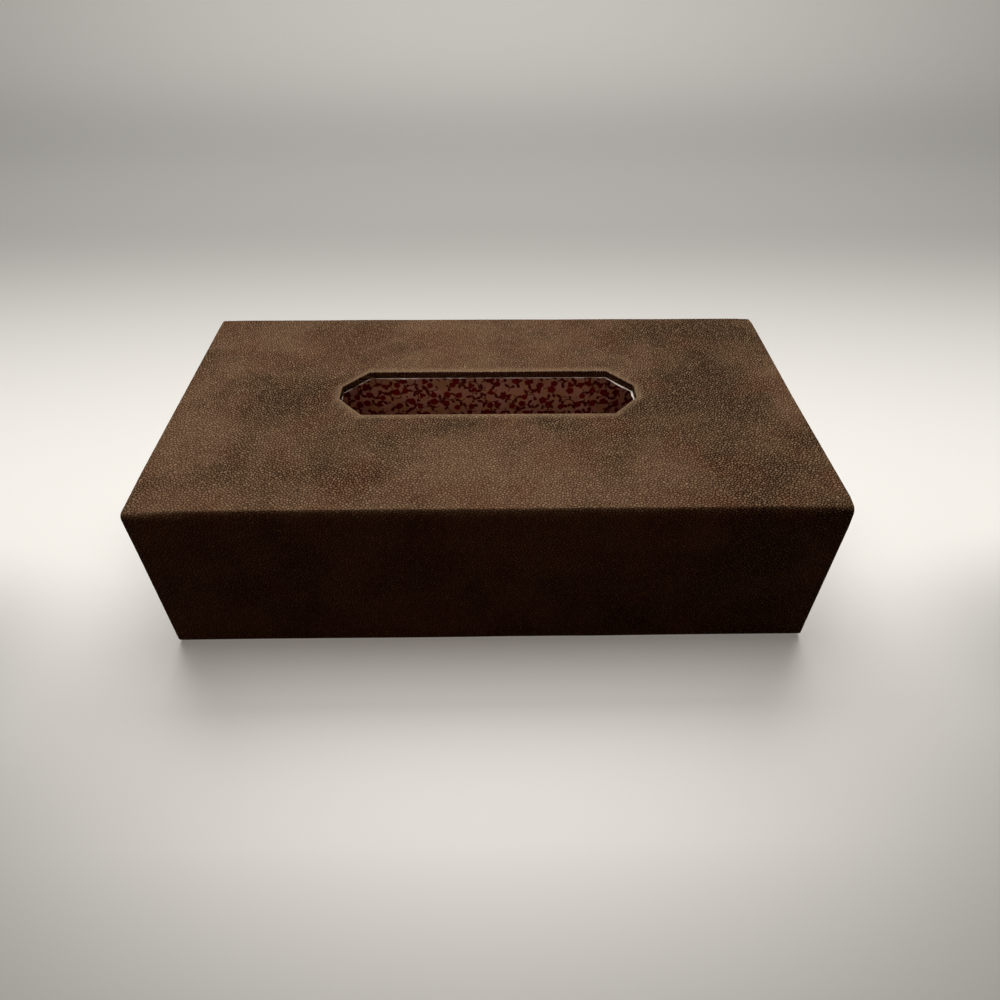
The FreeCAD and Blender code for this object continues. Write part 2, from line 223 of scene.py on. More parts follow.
class StageSettings(bpy.types.PropertyGroup):
    """Floor, light and camera."""

    floor: colour("Floor", "Colour of the floor and backdrop", 243, 240, 233)
    glow: share("Glow", "Share of the floor's colour that the camera sees in full shadow", 0.2)
    bounce: share("Bounce", "How much light the floor gives back to the box", 0.04)
    rear: power("Rear", "Power of the light behind", 11.0)
    overhead: power("Overhead", "Power of the light above", 3.4)
    fill: power("Fill", "Power of the warm light in front", 1.12)
    fill_tint: colour("Fill colour", "Colour of the light in front", 255, 186, 142)
    ambient: share("Ambient", "Strength of the light from all round", 0.01)
    beyond: share("Beyond", "Brightness that the camera sees past the sweep", 0.75)


SETTINGS = {
    "tissue_sleeve": SleeveSettings,
    "tissue_slot": SlotSettings,
    "tissue_leatherette": LeatheretteSettings,
    "tissue_paper": PaperSettings,
    "tissue_drawer": DrawerSettings,
    "tissue_tab": TabSettings,
    "tissue_stage": StageSettings,
}

# ---------------------------------------------------------------- shader maths


class Value:
    """One output of a shader node. Arithmetic on it adds Math nodes to its tree."""

    def __init__(self, nodes, socket):
        self.nodes = nodes
        self.socket = socket

    def _math(self, operation, *operands):
        return self.nodes.node("Math", {"operation": operation}, dict(enumerate(operands)))[0]

    def __add__(self, other):
        return self._math("ADD", self, other)

    __radd__ = __add__

    def __sub__(self, other):
        return self._math("SUBTRACT", self, other)

    def __rsub__(self, other):
        return self._math("SUBTRACT", other, self)

    def __mul__(self, other):
        return self._math("MULTIPLY", self, other)

    __rmul__ = __mul__

    def __truediv__(self, other):
        return self._math("DIVIDE", self, other)

    def __abs__(self):
        return self._math("ABSOLUTE", self)

    def apply(self, operation, *others):
        """Any other operation of the Math node, such as SINE or MAXIMUM."""
        return self._math(operation, self, *others)

    def above(self, level, softness):
        """1 over the level and 0 under it, with an edge as wide as the softness."""
        settings = {"interpolation_type": "SMOOTHSTEP"}
        half = softness / 2
        inputs = {"Value": self, "From Min": level - half, "From Max": level + half}
        return self.nodes.node("MapRange", settings, inputs)[0]


class Nodes:
    """A shader node tree being built."""

    def __init__(self, tree):
        self.tree = tree

    def node(self, kind, settings, inputs):
        """Adds a node, sets it up, and feeds each named or numbered input. Returns its outputs."""
        made = self.tree.nodes.new(f"ShaderNode{kind}")
        for key, setting in settings.items():
            setattr(made, key, setting)
        for key, feed in inputs.items():
            self.feed(made.inputs[key], feed)
        outputs = {output.name: Value(self, output) for output in made.outputs}
        outputs.update({number: Value(self, output) for number, output in enumerate(made.outputs)})
        return outputs

    def feed(self, socket, feed):
        if isinstance(feed, Value):
            self.tree.links.new(feed.socket, socket)
        elif socket.type == "RGBA" and len(feed) == 3:
            socket.default_value = (*feed, 1.0)
        else:
            socket.default_value = feed


class Finish(Nodes):
    """A material being built round its shader."""

    def __init__(self, name, roughness, specular=0.5, sheen=0.0):
        self.material = bpy.data.materials.new(name)
        self.material.use_nodes = True
        super().__init__(self.material.node_tree)
        self.shader = self.tree.nodes["Principled BSDF"]
        self.shader.inputs["Roughness"].default_value = roughness
        self.shader.inputs["Specular IOR Level"].default_value = specular
        self.shader.inputs["Sheen Weight"].default_value = sheen

    def place(self):
        """Object coordinates, in millimetres."""
        coordinates = self.node("TexCoord", {}, {})["Object"]
        return self.vector("SCALE", coordinates, scale=1 / MM)

    def vector(self, operation, one, other=None, scale=None):
        """One operation of the Vector Math node."""
        inputs = {0: one}
        if other is not None:
            inputs[1] = other
        if scale is not None:
            inputs["Scale"] = scale
        return self.node("VectorMath", {"operation": operation}, inputs)[0]

    def split(self, vector):
        parts = self.node("SeparateXYZ", {}, {0: vector})
        return [parts[0], parts[1], parts[2]]

    def join(self, x, y):
        return self.node("CombineXYZ", {}, {0: x, 1: y})[0]

    def mix(self, amount, one, other, blend="MIX"):
        """Colour one turned into the other by an amount."""
        settings = {"data_type": "RGBA", "blend_type": blend}
        return self.node("Mix", settings, {0: amount, 6: one, 7: other})[2]

    def clouds(self, place, size, detail=3.0, roughness=0.5, start=None):
        """Soft noise with features about as large as the size. A start moves it, so that layers differ."""
        if start is not None:
            place = self.vector("ADD", place, start)
        inputs = {"Vector": place, "Scale": 1 / size, "Detail": detail, "Roughness": roughness}
        return self.node("TexNoise", {}, inputs)

    def cells(self, flat, size, feature="F1", randomness=1.0):
        """Random cells on a flat sheet, about as far apart as the size."""
        settings = {"feature": feature, "voronoi_dimensions": "2D"}
        inputs = {"Vector": flat, "Scale": 1 / size, "Randomness": randomness}
        return self.node("TexVoronoi", settings, inputs)

    def bump(self, height, depth):
        """Relief from a height of 0 to 1, as deep as the depth, in metres."""
        self.feed_shader("Normal", self.node("Bump", {}, {"Height": height, "Distance": depth})[0])

    def feed_shader(self, name, feed):
        self.feed(self.shader.inputs[name], feed)


# ---------------------------------------------------------------- materials
#
# Sizes and distances in a material are in millimetres, apart from the depth of its relief.

# Attribute that says where the leatherette round the slot's rim gets a painted highlight.
RIM_HIGHLIGHT = "rim_highlight_mask"
# Colours of the hidden and small parts, as the shader wants them. Felt and thread have a dark and a light.
FIBREBOARD = (0.36, 0.25, 0.15)
GREYBOARD = (0.27, 0.25, 0.21)
BOARD_CHIP = (0.2, 0.13, 0.08)
FELT = (0.006, 0.005, 0.005), (0.03, 0.024, 0.02)
THREAD = (0.07, 0.04, 0.022), (0.2, 0.12, 0.07)


def unroll_sleeve(finish, place):
    """The sheet round the sleeve, laid flat: along it, and round it from the middle of the top."""
    x, y, z = finish.split(place)
    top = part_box("casing_cover")[1].z / MM
    return finish.join(x, y + y.apply("SIGN") * (top - z))


def unroll_face(finish, place):
    """A sheet that lies across the box and turns back over its edges, laid flat."""
    x, y, z = finish.split(place)
    return finish.join(y + x, z + x)


def unroll_tab(finish, place):
    """The strap, laid flat: across it, and along it and down its drooping end."""
    x, y, z = finish.split(place)
    return finish.join(y, x - z)


# Where each layer of the leatherette's clouds starts in its noise.
WIDE_START = (182.0, 569.0, 249.0)
BROAD_START = (399.0, 78.0, 165.0)
SMALL_START = (36.0, 75.0, 32.0)
TINT_START = (11.0, 91.0, 23.0)
# Angle that the grain is turned by, so that its rows run along no edge.
GRAIN_TURN = 0.6


def leatherette_patches(finish, look, place):
    """How far the leatherette is rubbed lighter, and how reddish it is, in cloudy patches."""
    rubbed_level, rubbed_edge = 0.487, 0.27
    tint_level, tint_edge, most_tint = 0.56, 0.24, 0.45
    patch = look.patch / MM
    wide = finish.clouds(place, patch * 2.6, 0.0, start=WIDE_START)[0]
    broad = finish.clouds(place, patch, 2.0, start=BROAD_START)[0]
    small = finish.clouds(place, patch / 2.6, 1.0, start=SMALL_START)[0]
    tint = finish.clouds(place, patch / 2, 2.0, start=TINT_START)[0]
    rubbed = (wide * 0.35 + broad * 0.4 + small * 0.25).above(rubbed_level, rubbed_edge)
    return rubbed, tint.above(tint_level, tint_edge) * most_tint


def leatherette_grain(finish, look, place, flat):
    """Pebbles on the flat sheet: where their tops are, how domed they are, and a random number for each.
    Their places stray by a smooth noise, and their outlines by a finer one."""
    stray_size, stray_reach = 2.4, 0.7
    knob_size, knob_share = 0.62, 0.3
    crease_width, crease_edge = 0.16, 0.26
    pebble = look.pebble / MM
    rows = finish.node("Mapping", {}, {"Vector": flat, "Rotation": (0.0, 0.0, GRAIN_TURN)})[0]
    stray = finish.clouds(place, stray_size, 1.0)["Color"]
    stray = finish.vector("SUBTRACT", stray, (0.5, 0.5, 0.5))
    strayed = finish.vector("ADD", rows, finish.vector("SCALE", stray, scale=stray_reach))
    pebbles = finish.cells(strayed, pebble)
    from_crease = finish.cells(strayed, pebble, "DISTANCE_TO_EDGE")[0]
    knobs = finish.clouds(rows, knob_size, 0.0)[0]
    top = (from_crease + (knobs - 0.5) * knob_share).above(crease_width, crease_edge)
    dome = 1 - pebbles["Distance"] * pebbles["Distance"]
    return top, dome, finish.split(pebbles["Color"])[0]


def make_leatherette(context, name, unroll):
    """Matt leatherette: cloudy patches, and a pebble grain that is plainest in the dark ones. Shade is
    painted into the creases between the pebbles, and highlights are painted onto the pebbles' tops, some
    brighter than others, and onto the sheet along the slot's rim."""
    fibre_contrast, fibre_relief = 0.7, 0.18
    # Strength of the painted highlight along the slot's rim, and how much rougher the creases are.
    rim_highlight_strength, crease_roughness = 0.2, 0.12
    look = context.scene.tissue_leatherette
    finish = Finish(name, look.roughness, specular=0.02)
    place = finish.place()
    rubbed, reddish = leatherette_patches(finish, look, place)
    top, dome, chance = leatherette_grain(finish, look, place, unroll(finish, place))
    fibre = finish.clouds(place, 0.55, 1.0, 0.6)[0]
    # Where the painted highlight along the slot's rim goes.
    rim_highlight = finish.node("Attribute", {"attribute_name": RIM_HIGHLIGHT}, {})["Fac"]

    patches = finish.mix(rubbed, look.dark, look.light)
    patches = finish.mix(reddish, patches, look.warm)
    fibres = finish.vector("SCALE", patches, scale=1 + (fibre - 0.5) * fibre_contrast)
    grain = 0.98 - rubbed * 0.26
    # Painted shade in the creases between the pebbles.
    crease_shaded = finish.mix(grain * (1 - top) * look.crease_shade_amount, fibres, look.crease_shade, blend="MULTIPLY")
    # Painted highlights: glints on the pebbles' tops, and a band along the slot's rim, painted towards the
    # glint colour.
    glints = top * top * top * (chance * 0.8 + 0.2)
    painted_highlights = grain * glints * look.glint_strength + rim_highlight * rim_highlight_strength
    finish.feed_shader("Base Color", finish.mix(painted_highlights, crease_shaded, look.glint_colour))
    finish.feed_shader("Roughness", look.roughness + (1 - top) * crease_roughness)
    finish.bump((dome * 0.5 + top * 0.5) * grain + fibre * fibre_relief, look.grain_depth)
    return finish.material


def turned(x, y, cosine, sine):
    """A place in axes that are turned by the angle with this cosine and sine."""
    return x * cosine + y * sine, y * cosine - x * sine


def scatter(finish, sheet, size, seed):
    """One motif's own axes in every cell of a random scatter, with three random numbers."""
    moved = finish.vector("ADD", sheet, (17.3 * seed, 9.1 * seed, 0.0))
    cells = finish.cells(moved, size, randomness=0.8)
    across, up, _ = finish.split(finish.vector("SUBTRACT", moved, cells["Position"]))
    chances = finish.split(cells["Color"])
    turn = chances[0] * math.tau
    return *turned(across, up, turn.apply("COSINE"), turn.apply("SINE")), chances


def ink(inside, softness):
    """Printed where a distance inside an outline is over 0, with a soft edge."""
    return inside.above(0, softness)


def chosen(chance, level):
    """1 for the motifs whose random number is over the level, and 0 for the others."""
    return chance.above(level, 0.01)


def from_middle(x, y):
    """How far a place is from where both of its coordinates are 0."""
    return (x * x + y * y).apply("SQRT")


def blossom_print(finish, sheet, size):
    """Round blossoms with soft lobes. One in three is a cup seen from the side, with a scalloped top."""
    lobes, lobe_depth, softness = 5, 0.06, 0.16
    foot, foot_half_width, widening, rim_height = 1.9, 0.3, 0.62, 1.0
    x, y, chances = scatter(finish, sheet, size, 1)
    lobed = (y.apply("ARCTAN2", x) * lobes).apply("COSINE") * lobe_depth + (1 - lobe_depth)
    radius = chances[1] * 0.6 + 1.65
    face = ink(lobed * radius - from_middle(x, y), softness)
    scallop = abs((x * 1.9).apply("SINE")) * 0.45 + rim_height
    half_width = (y + foot) * widening + foot_half_width
    cup = ink(scallop - y, softness) * ink(half_width - abs(x), softness) * ink(y + foot, softness)
    side_on = chosen(chances[2], 0.68)
    return side_on * cup + (1 - side_on) * face


def leaf_shape(x, y, half_length, half_width):
    """A pointed leaf that lies along X."""
    along = x / half_length
    return ink((1 - along * along) * half_width - abs(y), 0.14)


def leaf_print(finish, sheet, size):
    """Pairs of leaves that open from a short stalk. One pair in eight is left out."""
    opening, half_gap = math.radians(38), 1.5
    half_width, half_length, middle = 0.2, 1.7, -1.5
    x, y, chances = scatter(finish, sheet, size, 2)
    along, side = turned(abs(x) - half_gap, y, math.cos(opening), math.sin(opening))
    leaves = leaf_shape(along, side, 1.8, 0.84)
    stalk = ink(half_width - abs(x), 0.1) * ink(half_length - abs(y - middle), 0.1)
    return leaves.apply("MAXIMUM", stalk) * (1 - chosen(chances[1], 0.88))


def stem_print(finish, sheet, size):
    """Curved stems with a bud at one end and a leaf half-way."""
    half_width, half_height = 0.27, 3.8
    x, y, chances = scatter(finish, sheet, size, 3)
    radius = chances[1] * 2.0 + 3.2
    ring = ink(half_width - abs(from_middle(x - radius, y) - radius), 0.12)
    arc = ring * ink(half_height - abs(y), 0.1) * ink(radius - x, 0.1)
    bud = leaf_shape(y - 3.4, x - 1.4, 1.4, 0.85)
    along, side = turned(x, y, 0.77, 0.64)
    leaf = leaf_shape(along + 1.4, side, 1.5, 0.68)
    return arc.apply("MAXIMUM", bud).apply("MAXIMUM", leaf)


def berry_print(finish, sheet, size):
    """Berries of different sizes, in half of the cells."""
    x, y, chances = scatter(finish, sheet, size, 4)
    radius = chances[1] * 0.35 + 0.35
    return ink(radius - from_middle(x, y), 0.14) * chosen(chances[2], 0.5)


def make_printed_paper(context, name, axes):
    """Lining paper with a small scattered print of blossoms, leaves, stems and berries, whose outlines are
    a little ragged."""
    ragged_size, ragged_reach = 1.3, 0.8
    look = context.scene.tissue_paper
    along, up, over, sign = axes
    finish = Finish(name, 0.55, specular=0.4)
    place = finish.place()
    parts = finish.split(place)
    ragged = finish.split(finish.clouds(place, ragged_size, 1.0)["Color"])
    sheet = finish.join(
        parts[along] + (ragged[0] - 0.5) * ragged_reach,
        parts[up] + parts[over] * float(sign) + (ragged[1] - 0.5) * ragged_reach,
    )
    tinted = finish.clouds(place, 9.0, 2.0)[0].above(0.5, 0.36)
    foliage = leaf_print(finish, sheet, look.leaf_cell / MM)
    foliage = foliage.apply("MAXIMUM", stem_print(finish, sheet, look.stem_cell / MM))
    foliage = foliage.apply("MAXIMUM", berry_print(finish, sheet, look.berry_cell / MM))
    blossoms = blossom_print(finish, sheet, look.blossom_cell / MM)
    ground = finish.mix(tinted, look.ground, look.ground_tint)
    printed = finish.mix(foliage, ground, look.leaf)
    finish.feed_shader("Base Color", finish.mix(blossoms, printed, look.blossom))
    finish.bump(finish.clouds(place, 0.35, 3.0, 0.6)[0], 0.03 * MM)
    return finish.material


def make_plain_paper(name, shade):
    """Uncoated paper with faint fibres."""
    finish = Finish(name, 0.8, specular=0.3)
    place = finish.place()
    fibres = finish.clouds(place, 0.3, 4.0, 0.7)[0]
    mottle = finish.clouds(place, 6.0)[0]
    darker = (fibres + mottle - 0.8) * 0.35
    finish.feed_shader("Base Color", finish.mix(darker, shade, (0.0, 0.0, 0.0)))
    finish.bump(fibres, 0.04 * MM)
    return finish.material


def make_board(name, shade):
    """Raw board: fine chips of two tones."""
    finish = Finish(name, 0.85, specular=0.25)
    chips = finish.clouds(finish.place(), 0.7, 4.0, 0.75)[0]
    finish.feed_shader("Base Color", finish.mix(chips.above(0.5, 0.3) * 0.35, shade, BOARD_CHIP))
    finish.bump(chips, 0.06 * MM)
    return finish.material


def make_felt():
    """Dark pressed felt."""
    finish = Finish("felt", 0.95, specular=0.15, sheen=0.4)
    fuzz = finish.clouds(finish.place(), 0.45, 5.0, 0.75)[0]
    finish.feed_shader("Base Color", finish.mix(fuzz, *FELT))
    finish.bump(fuzz, 0.25 * MM)
    return finish.material


def make_thread():
    """Twisted sewing thread."""
    finish = Finish("thread", 0.7, specular=0.15)
    strands = finish.clouds(finish.place(), 0.18, 2.0)[0]
    finish.feed_shader("Base Color", finish.mix(strands, *THREAD))
    finish.bump(strands, 0.06 * MM)
    return finish.material


# ---------------------------------------------------------------- mesh helpers

# Edges with a larger angle between their faces stay sharp.
SHARP_ANGLE = math.radians(38)
# Two places nearer than this are taken to be the same.
NEAR = 0.01 * MM
# A place nearer than this to a panel's face is on the face.
ON_FACE = 0.1 * MM


def spread(low, high, count):
    """Evenly spaced places from low to high, both included, with this many spaces between them."""
    return [low + (high - low) * step / count for step in range(count + 1)]


def stations(step, *marks):
    """Places about a step apart, with every mark among them."""
    places = set(marks)
    for low, high in zip(marks, marks[1:]):
        places.update(spread(low, high, max(1, round((high - low) / step))))
    return sorted(places)


def new_box(low, high):
    """A new mesh that holds a box."""
    low, high = Vector(low), Vector(high)
    place = Matrix.Translation((low + high) / 2) @ Matrix.Diagonal((*(high - low), 1.0))
    bm = bmesh.new()
    bmesh.ops.create_cube(bm, size=1.0, matrix=place)
    return bm


def cut(bm, axis, places):
    """Cuts the whole mesh with planes across an axis."""
    normal = Vector((0, 0, 0))
    normal[axis] = 1.0
    for place in places:
        slice_parts(bm, bm.verts[:] + bm.edges[:] + bm.faces[:], normal * place, normal)


def slice_faces(bm, faces, point, normal):
    rims = dict.fromkeys(part for face in faces for part in (*face.verts, *face.edges))
    slice_parts(bm, [*rims, *faces], point, normal)


def slice_parts(bm, parts, point, normal):
    bmesh.ops.bisect_plane(bm, geom=parts, dist=1e-7, plane_co=point, plane_no=normal)


def verts_of(parts):
    return [part for part in parts if isinstance(part, bmesh.types.BMVert)]


def edges_of(parts):
    return [part for part in parts if isinstance(part, bmesh.types.BMEdge)]


def grow(bm, edges):
    """Extrudes a rim of edges. Returns its new vertices and its new rim."""
    grown = bmesh.ops.extrude_edge_only(bm, edges=edges)["geom"]
    return verts_of(grown), [edge for edge in edges_of(grown) if edge.is_boundary]


def bevel(bm, edges, radius, segments):
    bmesh.ops.bevel(
        bm,
        geom=list(edges),
        offset=radius,
        segments=segments,
        profile=0.5,
        affect="EDGES",
        material=-1,
        clamp_overlap=False,
    )


def runs_along(edge, axis):
    direction = edge.verts[1].co - edge.verts[0].co
    return abs(direction[axis]) > 0.999 * direction.length


def at_level(edge, axis, level):
    return all(abs(vert.co[axis] - level) < 1e-6 for vert in edge.verts)


def edges_at(bm, axis, level):
    return [edge for edge in bm.edges if at_level(edge, axis, level)]


def round_long_edges(bm, low, high, top, bottom):
    """Bevels the edges along X. Top and bottom are each a radius and a number of segments."""
    long_edges = [edge for edge in bm.edges if runs_along(edge, X)]
    top_edges = [edge for edge in long_edges if at_level(edge, Z, high.z)]
    bottom_edges = [edge for edge in long_edges if at_level(edge, Z, low.z)]
    bevel(bm, top_edges, *top)
    bevel(bm, bottom_edges, *bottom)


def smooth_step(amount):
    """Rises smoothly from 0 to 1, and stays there."""
    amount = min(1.0, max(0.0, amount))
    return amount * amount * (3 - 2 * amount)


def add_object(name, data):
    made = bpy.data.objects.new(name, data)
    bpy.context.scene.collection.objects.link(made)
    return made


def add_mesh(name, bm, materials):
    """Turns the mesh into a smooth object. Edges that were marked sharp stay so."""
    for face in bm.faces:
        face.smooth = True
    mesh = bpy.data.meshes.new(name)
    bm.to_mesh(mesh)
    bm.free()
    for material in materials:
        mesh.materials.append(material)
    return add_object(name, mesh)


def make_piece(bm, name, materials, body, replaced=()):
    """Turns the mesh into a finished piece on a body, standing for some of the frame's nodes."""
    bm.normal_update()
    for edge in bm.edges:
        edge.smooth = len(edge.link_faces) != 2 or edge.calc_face_angle(0.0) < SHARP_ANGLE
    piece = add_mesh(name, bm, materials)
    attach(piece, body)
    if replaced:
        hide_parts(*replaced)
    weighted = piece.modifiers.new("weighted_normals", "WEIGHTED_NORMAL")
    weighted.keep_sharp = True


def dress_nodes(names, material):
    for name in names:
        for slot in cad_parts[name].material_slots:
            slot.material = material


# ---------------------------------------------------------------- sleeve


class Slot:
    """The outline of the tissue slot, or one that runs round it at a margin."""

    def __init__(self, settings, margin=0.0):
        self.middle = settings.offset
        self.half_length = settings.length / 2 + margin
        self.half_width = settings.width / 2 + margin
        normal = Vector(((settings.width - settings.end_flat) / 2, settings.corner, 0)).normalized()
        self.corner_normal = normal
        self.side_end = settings.length / 2 - settings.corner + margin * (1 - normal.y) / normal.x
        self.end_edge = settings.end_flat / 2 + margin * (1 - normal.x) / normal.y

    def sides(self, point):
        """How far a point lies outside the end, the long side and the cut corner nearest to it, and each
        one's direction outwards."""
        sign_x, sign_y = math.copysign(1, point.x), math.copysign(1, point.y - self.middle)
        x, y = abs(point.x), abs(point.y - self.middle)
        normal = self.corner_normal
        past_corner = (x - self.side_end) * normal.x + (y - self.half_width) * normal.y
        return (
            (x - self.half_length, Vector((sign_x, 0, 0))),
            (y - self.half_width, Vector((0, sign_y, 0))),
            (past_corner, Vector((sign_x * normal.x, sign_y * normal.y, 0))),
        )

    def distance(self, point):
        """How far a point lies outside the outline, or inside it where negative."""
        return max(past for past, _ in self.sides(point))

    def outwards(self, point):
        """The way that a point of the outline moves when the outline grows by one."""
        normals = [normal for past, normal in self.sides(point) if abs(past) < NEAR]
        total = sum(normals, Vector())
        return total * len(normals) / total.length_squared

    def across(self, steps):
        """Places along X that the slot's outline needs, evenly spaced in each cut corner."""
        right = spread(self.side_end, self.half_length, steps)
        return [-x for x in reversed(right)] + right

    def deep(self, steps):
        """Places along Y that the slot's outline needs, as many in each cut corner."""
        rear = spread(self.end_edge, self.half_width, steps)
        return [self.middle - y for y in reversed(rear)] + [self.middle + y for y in rear]

    def open(self, bm):
        """Cuts the four corners and takes out the faces inside, in a flat grid made with across and deep.
        Returns the rim of the hole."""
        for sign_x in (-1, 1):
            for sign_y in (-1, 1):
                corner = [face for face in level_faces(bm) if self.in_corner(face, sign_x, sign_y)]
                point = Vector((sign_x * self.side_end, self.middle + sign_y * self.half_width, 0))
                normal = Vector((sign_x * self.corner_normal.x, sign_y * self.corner_normal.y, 0))
                slice_faces(bm, corner, point, normal)
        inside = [face for face in level_faces(bm) if self.distance(face.calc_center_median()) < 0]
        bmesh.ops.delete(bm, geom=inside, context="FACES")
        return [edge for edge in bm.edges if edge.is_boundary and self.holds(edge)]

    def in_corner(self, face, sign_x, sign_y):
        """Whether a face is in the rectangle that one of the four corners is cut across."""
        centre = face.calc_center_median()
        x, y = sign_x * centre.x, sign_y * (centre.y - self.middle)
        return self.side_end < x < self.half_length and self.end_edge < y < self.half_width

    def holds(self, edge):
        return all(abs(self.distance(vert.co)) < NEAR for vert in edge.verts)


def turn_into_slot(bm, outline, rim, radius, bottom):
    """Rolls a rim on the outline over the slot's edge, and takes it down the slot's wall."""
    outwards = {tuple(vert.co): outline.outwards(vert.co) for edge in rim for vert in edge.verts}
    turns = spread(0, math.pi / 2, 5)
    for before, after in zip(turns, turns[1:]):
        inward = radius * (math.sin(after) - math.sin(before))
        down = Vector((0, 0, radius * (math.cos(before) - math.cos(after))))
        verts, rim = grow(bm, rim)
        carried = {}
        for vert in verts:
            direction = outwards[tuple(vert.co)]
            vert.co -= direction * inward + down
            carried[tuple(vert.co)] = direction
        outwards = carried
    verts, rim = grow(bm, rim)
    for vert in verts:
        vert.co.z = bottom


def level_faces(bm):
    """The faces that look up, at the mesh's highest level."""
    bm.normal_update()
    highest = max(vert.co.z for vert in bm.verts)
    return [
        face for face in bm.faces if face.normal.z > 0.99 and face.calc_center_median().z > highest - MM
    ]


def waves(point, settings):
    """How far the glued sheet lies above its mean level at a point."""
    fine_size, fine_share, fine_start = 0.3, 0.35, Vector((5, 3, 1))
    broad = noise.noise(point / settings.wave_size)
    fine = noise.noise(point / (settings.wave_size * fine_size) + fine_start)
    return settings.wave * (broad + fine_share * fine)


def lay_on_boards(bm, sleeve, slot_settings, outline, low, high, lip_bottom):
    """Lets the sheet rise and fall, draws it down round the slot and settles its top corners."""
    level_at_mouth = 8 * MM
    bm.normal_update()
    shifts = {}
    for vert in bm.verts:
        place = vert.co
        past = outline.distance(place)
        rise = waves(place, sleeve) * smooth_step((high.x - place.x) / level_at_mouth)
        if place.z > lip_bottom - NEAR and past < slot_settings.dip_reach:
            dip = slot_settings.dip * (1 - smooth_step(past / slot_settings.dip_reach))
            height = (place.z - lip_bottom) / (high.z - lip_bottom)
            shift = Vector((0, 0, (rise - dip) * height))
        else:
            shift = vert.normal * rise
        shifts[vert] = shift + give_way(place, sleeve, low, high)
    for vert, shift in shifts.items():
        vert.co += shift


def give_way(place, sleeve, low, high):
    """How far the sheet gives way at a place near one of the top's corners. The front corner of the closed
    end is the most worn, and those at the mouth are rounded inwards as well."""
    corners = (
        (Vector((low.x, low.y, high.z)), Vector((0, -0.5, -1)), 26 * MM),
        (Vector((low.x, high.y, high.z)), Vector((0, 0, -0.5)), 12 * MM),
        (Vector((high.x, low.y, high.z)), Vector((-0.9, 0.3, -1)), 7 * MM),
        (Vector((high.x, high.y, high.z)), Vector((-0.9, -0.4, -0.6)), 8 * MM),
    )
    total = Vector()
    for corner, move, reach in corners:
        total += move * sleeve.corner_give * (1 - smooth_step((place - corner).length / reach))
    return total


def mark_rim_highlight(bm, outline, high):
    """Marks where the sheet round the slot's rim gets a painted highlight, for its material."""
    reach, depth, fade = 1.2 * MM, 0.36 * MM, 0.3 * MM
    layer = bm.verts.layers.float.new(RIM_HIGHLIGHT)
    for vert in bm.verts:
        past = abs(outline.distance(vert.co))
        height = vert.co.z - high.z + depth
        vert[layer] = (1 - smooth_step(past / reach)) * smooth_step(height / fade)


def tighten_edges(bm, sleeve, low, high):
    """Shapes the four long rounded edges. The top ones reach far down the sides along the middle of the
    sleeve, and less far at either end. How far an edge reaches over the top or bottom varies a little."""
    vary_size, mean, vary_share = 24 * MM, 0.94, 0.12
    for vert in bm.verts:
        top = vert.co.z > (low.z + high.z) / 2
        made = sleeve.top_radius if top else sleeve.bottom_radius
        end_reach, end_drop = (sleeve.end_reach, sleeve.end_drop) if top else (made, made)
        middle_reach, middle_drop = (sleeve.top_reach, sleeve.top_drop) if top else (made, made)
        corner_y = high.y if vert.co.y > 0 else low.y
        corner_z = high.z if top else low.z
        if max(abs(vert.co.y - corner_y), abs(vert.co.z - corner_z)) > made + NEAR:
            continue
        away = smooth_step(min(vert.co.x - low.x, high.x - vert.co.x) / sleeve.tightening)
        along = Vector((vert.co.x / vary_size, corner_y / MM, corner_z / MM))
        vary = min(1.0, mean + vary_share * noise.noise(along))
        reach = end_reach + (vary * middle_reach - end_reach) * away
        drop = end_drop + (middle_drop - end_drop) * away
        vert.co.y = corner_y + (vert.co.y - corner_y) * reach / made
        vert.co.z = corner_z + (vert.co.z - corner_z) * drop / made


def flare_mouth(bm, sleeve, low, high):
    """Draws the front corner of the mouth out a little. The strip turned inside stays where it is."""
    skin = 1.5 * MM
    for vert in bm.verts:
        inside = low.y + skin < vert.co.y < high.y - skin and low.z + skin < vert.co.z < high.z - skin
        if not inside:
            near = smooth_step(1 - (high.x - vert.co.x) / sleeve.flare_length)
            vert.co.x += sleeve.flare * near * max(0.0, vert.co.y / low.y)


def turn_in_mouth(bm, sleeve, low, high):
    """Turns the sheet over the edges of the boards at the mouth. Its inner edge meets the lining."""
    inner_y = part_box("casing_front_lining")[1].y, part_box("casing_rear_lining")[0].y
    inner_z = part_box("casing_bottom_lining")[1].z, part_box("casing_top_lining")[0].z
    radii_z = sleeve.bottom_radius, sleeve.top_radius
    outer_rim = [edge for edge in edges_at(bm, X, high.x) if edge.is_boundary]
    verts, inner_rim = grow(bm, outer_rim)
    for vert in verts:
        radius = sleeve.top_radius if vert.co.z > (low.z + high.z) / 2 else sleeve.bottom_radius
        vert.co.y = turned_in(vert.co.y, (low.y, high.y), inner_y, (radius, radius))
        vert.co.z = turned_in(vert.co.z, (low.z, high.z), inner_z, radii_z)
    verts, _ = grow(bm, inner_rim)
    for vert in verts:
        vert.co.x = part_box("casing_top_lining")[1].x
    bevel(bm, outer_rim, sleeve.rim_radius, 4)
    bevel(bm, inner_rim, sleeve.inner_rim_radius, 3)


def turned_in(place, outer, inner, radii):
    """Moves one coordinate of the mouth's outer rim to its inner rim, where the corners keep a share of
    their radius. The others are pairs, for the low and the high side."""
    tight = 0.2
    low, high = outer
    inner_low, inner_high = inner
    low_radius, high_radius = radii
    if place < low + low_radius:
        return inner_low + (place - low) * tight
    if place > high - high_radius:
        return inner_high + (place - high) * tight
    flat = (place - low - low_radius) / (high - high_radius - low - low_radius)
    start, end = inner_low + low_radius * tight, inner_high - high_radius * tight
    return start + (end - start) * flat


